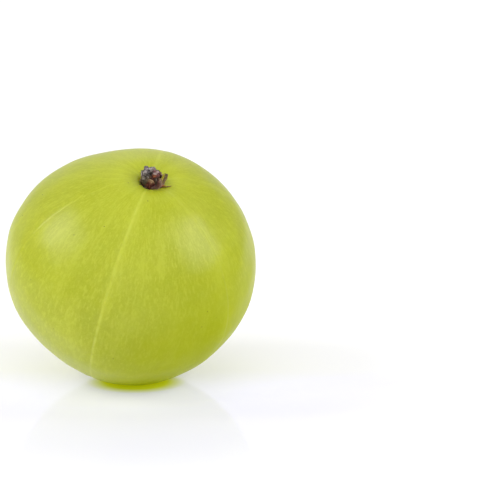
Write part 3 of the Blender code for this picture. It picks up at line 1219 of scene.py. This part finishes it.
@dataclass(frozen=True)
class ScaleShape:
    """What the withered sepals have in common, with the closeness and heights of their relief.

    Each set of waves has a count, a closeness and a step. Widths and thicknesses are given as their share at
    the foot, how much of it is lost by the tip or the edge, and the power of the way there.
    """

    foot_height: float = 12.95 * MM
    rows: int = 46
    columns: int = 72
    section_power: float = 0.6
    face: tuple[float, float] = (2.0, 3.0)
    tear_waves: tuple[int, float, float] = (6, 3.0, 2.5)
    tear_share: float = 0.22
    edge_waves: tuple[int, float, float] = (5, 7.0, 4.0)
    edge_height: float = 0.16
    edge_across: float = 0.3
    crumple_waves: tuple[int, float, float] = (7, 2.2, 1.1)
    crumple_height: float = 0.055 * MM
    rib_height: float = 0.022 * MM
    ribs_across: float = 17.0
    ribs_along: float = 2.0
    width: tuple[float, float, float] = (1.12, 0.62, 1.6)
    lean_power: float = 1.5
    thickness: tuple[float, float] = (1.15, 0.55)
    edge_thinning: tuple[float, float] = (0.45, 4.0)
    cupping: float = 2.6
    plates: int = 46
    breakage: Breakage = Breakage(0.030, 0.10, 0.035, 0.05, 21)


@dataclass(frozen=True)
class ScaleTones:
    """Where a withered sepal changes its tissue, and how dark its painted shade is in cracks, at the foot and
    on the back.
    """

    tip_reach: Reach = (0.45, 0.95)
    edge_reach: Reach = (0.25, 0.55)
    edge_start: Reach = (0.2, 0.45)
    plate_range: Reach = (0.45, 1.75)
    in_cracks: float = 0.6
    at_foot: float = 0.5
    foot_share: float = 0.3
    on_back: float = 0.45


def on_face(first: Array, second: Array) -> Array:
    """Points on a level plane, from their two coordinates."""
    return np.stack([first, second, np.zeros_like(first)], axis=-1)


class WitheredScales(CalyxPiece):
    """Withered sepals: thin ragged scales, ribbed and cracked, that follow their own middle lines."""

    shape = ScaleShape()
    tones = ScaleTones()

    def outline(self, scale: Scale, share: Array, across: Array, seed: int) -> tuple[Array, Array]:
        """Where each point lies along and across its scale, which is torn shorter and uneven at its edges.

        Args:
            scale: The scale's line, sizes and tissues.
            share: The share of the way from foot to tip.
            across: The share of the half width, below nought on the left.
            seed: Starts its random relief.

        Returns:
            The share of the line that is left of each point's own, and how far it lies aside in metres.
        """
        shape = self.shape
        torn = waves(on_face(across, 0.0 * across), *shape.tear_waves, seed)
        along = share * (1.0 - shape.tear_share * np.clip(0.5 + 0.5 * torn, 0.0, 1.0))
        uneven = waves(on_face(share, shape.edge_across * across), *shape.edge_waves, seed + 1)
        at_foot, lost, power = shape.width
        wide = scale.half_width * (at_foot - lost * share ** power) * (1.0 + shape.edge_height * uneven)
        return along, across * wide + scale.lean * share ** shape.lean_power

    def sheet(self, scale: Scale, seed: int) -> tuple[Array, Array, Array]:
        """One scale.

        Its section is a flat oval, cupped as the square of the way aside. Crossed waves crumple it, ribs run
        along it as a cosine across, and plates break its face up.

        Args:
            scale: The scale's line, sizes and tissues.
            seed: Starts its random relief.

        Returns:
            The points, their colours and their painted shade, by row and column.
        """
        shape = self.shape
        turns = np.arange(shape.columns) * FULL_TURN / shape.columns
        share, turn = np.meshgrid(np.linspace(0.0, 1.0, shape.rows), turns, indexing="ij")
        across, through = np.cos(turn), np.sin(turn)
        through = np.sign(through) * np.abs(through) ** shape.section_power
        along, sideways = self.outline(scale, share, across, seed)
        out, height = scale.line(along, shape.foot_height)
        further_out, further_up = scale.line(along + 0.01, shape.foot_height)
        length = np.hypot(further_out - out, further_up - height)
        normal = np.stack([(further_up - height) / length, (out - further_out) / length], axis=-1)

        flat = on_face(shape.face[0] * across, shape.face[1] * share)
        relief, plate, crack = shape.breakage.relief(flat, self.scattered(seed))
        thick = scale.half_thickness * (shape.thickness[0] - shape.thickness[1] * share)
        thick = thick * (1.0 - shape.edge_thinning[0] * across ** shape.edge_thinning[1])
        ribs = shape.rib_height * np.cos(shape.ribs_across * across + shape.ribs_along * share)
        proud = through * (thick + MM * relief + ribs)
        proud += shape.crumple_height * waves(flat, *shape.crumple_waves, seed + 2)
        proud -= sideways ** 2 / (shape.cupping * scale.foot_out)
        points = out[..., None] * directions(90.0, scale.azimuth)
        points += (normal[..., 0] * proud)[..., None] * directions(90.0, scale.azimuth - scale.twist)
        points += sideways[..., None] * directions(90.0, scale.azimuth - scale.twist + 90.0)
        points[..., 2] += height + normal[..., 1] * proud

        tones = self.tones
        edge = smooth_step(-across, *tones.edge_reach) * smooth_step(share, *tones.edge_start)
        tint = blend(scale.tissue.colour(), scale.tip_tissue.colour(), smooth_step(share, *tones.tip_reach))
        tint = blend(tint, scale.edge_tissue.colour(), edge)
        tint = tint * plate_tones(plate, *tones.plate_range, seed)[..., None]
        # Painted shade: darker in the cracks, at the foot and on the back.
        foot = smooth_step(tones.foot_share - share, 0.0, tones.foot_share)
        painted_shade = tones.in_cracks * crack + tones.at_foot * foot + tones.on_back * (through < 0.0)
        return points, tint, np.clip(painted_shade, 0.0, 1.0)

    def scattered(self, seed: int) -> Array:
        """Middles of the plates, scattered evenly over the scale's face.

        Args:
            seed: Starts the random draw.

        Returns:
            One row for each plate.
        """
        draw = np.random.default_rng(seed)
        count, (half_width, length) = self.shape.plates, self.shape.face
        return on_face(draw.uniform(-half_width, half_width, count), draw.uniform(0.0, length, count))

    def build(self, name: str, scales: Sequence[Scale], seed: int) -> None:
        """Makes the scales as one piece and dresses it.

        Args:
            name: The piece's name.
            scales: The scales.
            seed: Starts their random relief.
        """
        shells, tints, painted_shades = [], [], []
        for number, scale in enumerate(scales):
            points, tint, painted_shade = self.sheet(scale, seed + 10 * number)
            laid = self.pose.lay(points)
            shells.append(Shell(laid, laid[0].mean(axis=0), laid[-1].mean(axis=0)))
            tints.append(with_ends(tint))
            painted_shades.append(with_ends(painted_shade))
        self.dress(name, shells, tints, painted_shades)


def sepal(azimuth: float, lengths_mm: tuple[float, ...], twist: float, *tissues: Tissue) -> Scale:
    """A scale from its lengths in millimetres, in the order of its fields, and its three tissues."""
    return Scale(azimuth, *(length * MM for length in lengths_mm), twist, *tissues)


PINK, TAN, RED = Tissue.DUSTY_PINK, Tissue.TAN, Tissue.RED_BROWN
OLIVE, LILAC, STRAW_AND_HIGHLIGHT = Tissue.OLIVE_BROWN, Tissue.LILAC_GREY, Tissue.STRAW_AND_HIGHLIGHT
PRESSED_SEPALS = (
    sepal(321.0, (0.98, 2.75, 1.40, 1.95, 1.25, 0.05, 0.13), 0.0, PINK, TAN, RED),
    sepal(264.0, (0.84, 2.35, 0.98, 1.22, 1.05, -0.04, 0.12), 0.0, RED, TAN, OLIVE),
    sepal(172.0, (0.55, 2.50, 1.12, 1.22, 1.08, 0.05, 0.12), 0.0, OLIVE, LILAC, OLIVE),
    sepal(98.0, (0.68, 2.30, 1.36, 1.36, 1.05, -0.06, 0.12), 0.0, TAN, OLIVE, OLIVE),
    sepal(14.0, (0.78, 2.30, 1.45, 1.68, 1.15, 0.08, 0.12), 0.0, OLIVE, PINK, RED),
)
# Its bright yellow edge is partly painted highlight, for light caught on the edge of the proud sepal.
PROUD_SEPAL = (sepal(340.0, (0.60, 3.85, 1.10, 2.05, 1.62, 0.05, 0.15), 38.0, TAN, OLIVE, STRAW_AND_HIGHLIGHT),)
PRESSED_SEED = 31
PROUD_SEED = 91


@dataclass(frozen=True)
class Fibre:
    """A torn fibre that lies on the skin, its lengths in millimetres.

    It runs from one place to another, each a distance from the axis and an azimuth.
    """

    start: tuple[float, float]
    end: tuple[float, float]
    lift: float
    arch: float
    thickness: float
    tissue: Tissue


class LooseBits(CalyxPiece):
    """Fibres and crumbs of the calyx that lie on the skin round it."""

    fibres = (
        Fibre((1.45, 322.0), (2.80, 350.0), 0.10, 0.02, 0.095, RED),
        Fibre((1.50, 328.0), (2.20, 340.0), 0.20, 0.06, 0.065, Tissue.ORANGE),
        Fibre((1.20, 230.0), (1.75, 222.0), 0.06, 0.05, 0.060, OLIVE),
        Fibre((1.20, 60.0), (2.10, 48.0), 0.08, 0.06, 0.055, TAN),
        Fibre((1.25, 128.0), (1.95, 141.0), 0.07, 0.08, 0.060, OLIVE),
        Fibre((1.10, 262.0), (1.55, 252.0), 0.10, 0.10, 0.070, TAN),
        Fibre((1.15, 284.0), (1.60, 292.0), 0.08, 0.06, 0.065, RED),
    )
    crumbs = (
        Fibre((2.95, 208.0), (3.10, 206.0), 0.02, 0.0, 0.085, OLIVE),
        Fibre((1.55, 246.0), (1.72, 247.0), 0.05, 0.0, 0.110, OLIVE),
        Fibre((1.62, 272.0), (1.78, 271.0), 0.04, 0.0, 0.095, RED),
        Fibre((1.58, 300.0), (1.80, 303.0), 0.05, 0.0, 0.115, TAN),
        Fibre((1.75, 20.0), (1.90, 22.0), 0.04, 0.0, 0.090, TAN),
        Fibre((1.70, 92.0), (1.88, 90.0), 0.04, 0.0, 0.100, OLIVE),
    )
    rows = 22
    columns = 14
    flatness = 0.8
    end_thickness = 0.02
    tapering = (1.1, 0.6)
    rough_waves = (6, 3.0, 1.5)
    rough_height = 0.22
    rough_along = 3.0
    shade_below = 0.6
    shade_reach = (0.0, 0.9)
    first_seed = 60

    def strand(self, fibre: Fibre, seed: int) -> Array:
        """One fibre: flattened sections that thin towards both ends, on a line that arches over the skin.

        A section's thickness falls as the root of one less the fourth power of the way from the middle to an
        end, and its outline is uneven by crossed waves.

        Args:
            fibre: The fibre's places and sizes.
            seed: Starts its random relief.

        Returns:
            The points, by row and column.
        """
        share = np.linspace(0.0, 1.0, self.rows)
        away = MM * (fibre.start[0] + (fibre.end[0] - fibre.start[0]) * share)
        azimuth = fibre.start[1] + (fibre.end[1] - fibre.start[1]) * share
        height = np.array([self.form.height_at(out, way) for out, way in zip(away, azimuth)])
        height += MM * (fibre.lift + fibre.arch * np.sin(math.pi * share))
        line = directions(90.0, azimuth) * away[:, None]
        line[:, 2] = height
        along = np.gradient(line, axis=0)
        along /= np.linalg.norm(along, axis=1)[:, None]
        aside = np.cross(along, (0.0, 0.0, 1.0))
        aside /= np.linalg.norm(aside, axis=1)[:, None]
        above = np.cross(aside, along)
        turn = self.turns()[None, :, None]
        rounded = np.sqrt(np.clip(1.0 - (2.0 * share - 1.0) ** 4, self.end_thickness, 1.0))
        thick = MM * fibre.thickness * rounded * (self.tapering[0] - self.tapering[1] * share)
        ring = np.cos(turn) * aside[:, None] + self.flatness * np.sin(turn) * above[:, None]
        uneven = waves(ring + self.rough_along * share[:, None, None], *self.rough_waves, seed)
        return line[:, None] + ring * (thick[:, None] * (1.0 + self.rough_height * uneven))[..., None]

    def turns(self) -> Array:
        """The angles of a section's points, in radians."""
        return np.arange(self.columns) * FULL_TURN / self.columns

    def build(self) -> None:
        """Makes the fibres and crumbs as one piece, with painted shade underneath, and dresses it."""
        shells, tints, painted_shades = [], [], []
        # Painted shade: darker on the underside of each fibre and crumb.
        below = self.shade_below * smooth_step(-np.sin(self.turns()), *self.shade_reach)
        for number, fibre in enumerate(self.fibres + self.crumbs):
            laid = self.pose.lay(self.strand(fibre, self.first_seed + number))
            shells.append(Shell(laid, laid[0].mean(axis=0), laid[-1].mean(axis=0)))
            tints.append(with_ends(np.broadcast_to(fibre.tissue.colour(), laid.shape)))
            painted_shades.append(with_ends(np.broadcast_to(below, laid.shape[:2])))
        self.dress("loose_bits", shells, tints, painted_shades)


# Floor, light and camera


@dataclass(frozen=True)
class Softbox:
    """A large soft light that faces the fruit."""

    name: str
    towards: tuple[float, float, float]
    distance: float
    width: float
    height: float
    radiance: float

    def place(self, target: Vector) -> None:
        """Puts an area light in its direction from the target, its power pi times its radiance and its area.

        Args:
            target: The point that it faces.
        """
        light = bpy.data.lights.new(self.name, "AREA")
        light.shape = "RECTANGLE"
        light.size, light.size_y = self.width, self.height
        light.energy = self.radiance * math.pi * self.width * self.height
        lamp = bpy.data.objects.new(self.name, light)
        way = Vector(self.towards).normalized()
        lamp.rotation_euler = way.to_track_quat("Z", "Y").to_euler()
        lamp.location = target + way * self.distance
        bpy.context.scene.collection.objects.link(lamp)


@dataclass(frozen=True)
class Studio:
    """A white glossy table under an even white surround and two softboxes."""

    floor_half_width: float = 2.0
    floor_colour: Colour = (0.975, 0.975, 0.98)
    floor_roughness: float = 0.08
    floor_specular: float = 0.5
    # Painted light: the green base colour and green glow at the contact stand for light that comes down
    # through the fruit.
    painted_contact_green: Colour = (0.66, 0.72, 0.05)
    painted_contact_glow: Colour = (0.21, 0.22, 0.0)
    contact_middle: tuple[float, float, float] = (0.6 * MM, -2.8 * MM, 0.0)
    contact_shape: tuple[float, float, float] = (0.75, 1.0, 1.0)
    contact_reach: Reach = (2.8 * MM, 5.2 * MM)
    # Painted light: the table's glow, strongest near the fruit, where it lifts the shade round it.
    nearby_light: Colour = (0.20, 0.19, 0.34)
    nearby_shape: tuple[float, float, float] = (0.33, 1.0, 1.0)
    nearby_reach: Reach = (4.5 * MM, 15.0 * MM)
    table_light: Colour = (0.01, 0.0, 0.12)
    table_light_reach: Reach = (24.0 * MM, 48.0 * MM)
    behind_reach: Reach = (-4.0 * MM, 6.0 * MM)
    far_light: Colour = (0.16, 0.155, 0.17)
    surround: float = 1.06
    brighter: tuple[tuple[str, float, float], ...] = (
        ("X", 1.0, 0.20),
        ("X", -1.0, 0.42),
        ("Y", -1.0, 1.42),
        ("Y", 1.0, 0.74),
        ("Z", 1.0, 0.76),
    )
    softboxes: tuple[Softbox, ...] = (
        Softbox("left_softbox", (-0.796, -0.132, 0.591), 1.3, 0.75, 0.75, 4.0),
        Softbox("right_softbox", (0.825, -0.162, 0.535), 1.3, 1.0, 0.8, 3.3),
    )

    def surround_shader(self, world: bpy.types.World) -> None:
        """A white surround, brighter or dimmer towards some axes.

        Its strength is multiplied once for each axis, by 1 for a direction square to the axis, and by the
        axis's own times for a direction along it, in a straight line in between.

        Args:
            world: The world that gets the surround.
        """
        world.use_nodes = True
        tree = world.node_tree
        background = tree.nodes["Background"]
        background.inputs["Color"].default_value = (1.0, 1.0, 1.0, 1.0)
        direction = tree.nodes.new("ShaderNodeTexCoord")
        split = tree.nodes.new("ShaderNodeSeparateXYZ")
        tree.links.new(direction.outputs["Generated"], split.inputs[0])
        strength = None
        for axis, way, times in self.brighter:
            share = tree.nodes.new("ShaderNodeMapRange")
            tree.links.new(split.outputs[axis], share.inputs["Value"])
            share.inputs["From Max"].default_value = way
            share.inputs["To Min"].default_value = 1.0
            share.inputs["To Max"].default_value = times
            product = tree.nodes.new("ShaderNodeMath")
            product.operation = "MULTIPLY"
            tree.links.new(share.outputs[0], product.inputs[0])
            product.inputs[1].default_value = self.surround
            if strength is not None:
                tree.links.new(strength, product.inputs[1])
            strength = product.outputs[0]
        tree.links.new(strength, background.inputs["Strength"])

    def table_material(self) -> bpy.types.Material:
        """White and glossy, with painted light from below, and painted green where light comes down through
        the fruit.

        The painted light from below goes from the nearby one to the table's own, and to the far one behind the
        fruit and further off. At the contact the painted green takes its place, and the gloss fades out. The
        contact and the nearby patch are drawn out from side to side, by the numbers of their shapes.

        Returns:
            The material.
        """
        material = bpy.data.materials.new("white_table")
        graph = Graph(material)
        place = graph.vector("SUBTRACT", graph.node("TexCoord", {}).outputs["Object"], self.contact_middle)
        away = graph.vector("LENGTH", place)
        under = graph.vector("LENGTH", graph.vector("MULTIPLY", place, self.contact_shape))
        contact = graph.spread(under, *self.contact_reach, 1.0, 0.0)
        beside = graph.vector("LENGTH", graph.vector("MULTIPLY", place, self.nearby_shape))
        light = graph.mix(graph.spread(beside, *self.nearby_reach), self.nearby_light, self.table_light)
        behind = graph.spread(graph.node("SeparateXYZ", {"Vector": place}).outputs["Y"], *self.behind_reach)
        far = graph.calc("MAXIMUM", graph.spread(away, *self.table_light_reach), behind)
        light = graph.mix(far, light, self.far_light)
        # Painted light: a green base colour and glow at the contact, and the table's painted glow elsewhere.
        graph.surface(
            base_color=graph.mix(contact, self.floor_colour, self.painted_contact_green),
            emission_color=graph.mix(contact, light, self.painted_contact_glow),
            emission_strength=1.0,
            roughness=self.floor_roughness,
            ior=1.45,
            specular_ior_level=graph.spread(under, *self.contact_reach, 0.0, self.floor_specular),
        )
        return material

    def build(self) -> None:
        """Makes the floor, the surround and the lights."""
        side = self.floor_half_width
        corners = [(-side, -side, 0.0), (side, -side, 0.0), (side, side, 0.0), (-side, side, 0.0)]
        mesh = bpy.data.meshes.new("floor")
        mesh.from_pydata(corners, [], [(0, 1, 2, 3)])
        floor = bpy.data.objects.new("floor", mesh)
        bpy.context.scene.collection.objects.link(floor)
        mesh.materials.append(self.table_material())
        world = bpy.data.worlds.new("white_surround")
        self.surround_shader(world)
        bpy.context.scene.world = world
        low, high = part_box(FRUIT_NODE)
        for softbox in self.softboxes:
            softbox.place((low + high) / 2.0)
        bpy.context.scene.view_settings.view_transform = "Standard"


@dataclass(frozen=True)
class PhotographCamera:
    """The camera at the photograph's angle, framed so that the fruit stands where it does there."""

    elevation: float = 15.6
    distance: float = 0.4064
    lens: float = 230.4
    sensor: float = 36.0
    clip: Reach = (0.01, 20.0)
    picture_side: float = 500.0
    fruit_pixel: tuple[float, float] = (131.0, 266.2)

    def build(self) -> None:
        """Makes the camera, level from side to side, with the fruit's middle at its pixel and no shift."""
        tilt = math.radians(self.elevation)
        right = Vector((1.0, 0.0, 0.0))
        up = Vector((0.0, math.sin(tilt), math.cos(tilt)))
        back = Vector((0.0, -math.cos(tilt), math.sin(tilt)))
        low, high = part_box(FRUIT_NODE)
        metres_a_pixel = self.distance * self.sensor / (self.lens * self.picture_side)
        across = (self.fruit_pixel[0] - self.picture_side / 2.0) * metres_a_pixel
        down = (self.fruit_pixel[1] - self.picture_side / 2.0) * metres_a_pixel
        data = bpy.data.cameras.new("photograph_camera")
        data.lens, data.sensor_width, data.sensor_fit = self.lens, self.sensor, "HORIZONTAL"
        data.clip_start, data.clip_end = self.clip
        camera = bpy.data.objects.new("photograph_camera", data)
        camera.location = (low + high) / 2.0 + back * self.distance - right * across + up * down
        camera.rotation_euler = Matrix((right, up, back)).transposed().to_euler()
        bpy.context.scene.collection.objects.link(camera)
        bpy.context.scene.camera = camera


def main() -> None:
    """Builds the camera, the studio and each piece of the fruit in turn."""
    logging.basicConfig(level=logging.INFO, format="%(name)s: %(message)s")
    PhotographCamera().build()
    Studio().build()
    form, pose = FruitForm(), RestingPose()
    skin = FruitSkin(form, pose)
    skin.dress(skin.build(), SkinFinish())
    crust = DryFinish("crumbly_dead_tissue", grain=9.0, stretch=1.0, roughness=0.85, depth=0.05 * MM)
    husk = DryFinish("withered_sepal", grain=8.0, stretch=3.0, roughness=0.75, depth=0.04 * MM)
    crust_material, husk_material = crust.material(pose), husk.material(pose)
    DriedStub(form, pose, crust_material).build()
    sepals = WitheredScales(form, pose, husk_material)
    sepals.build("pressed_sepals", PRESSED_SEPALS, PRESSED_SEED)
    sepals.build("proud_sepal", PROUD_SEPAL, PROUD_SEED)
    LooseBits(form, pose, husk_material).build()


if __name__ == "__main__":
    main()
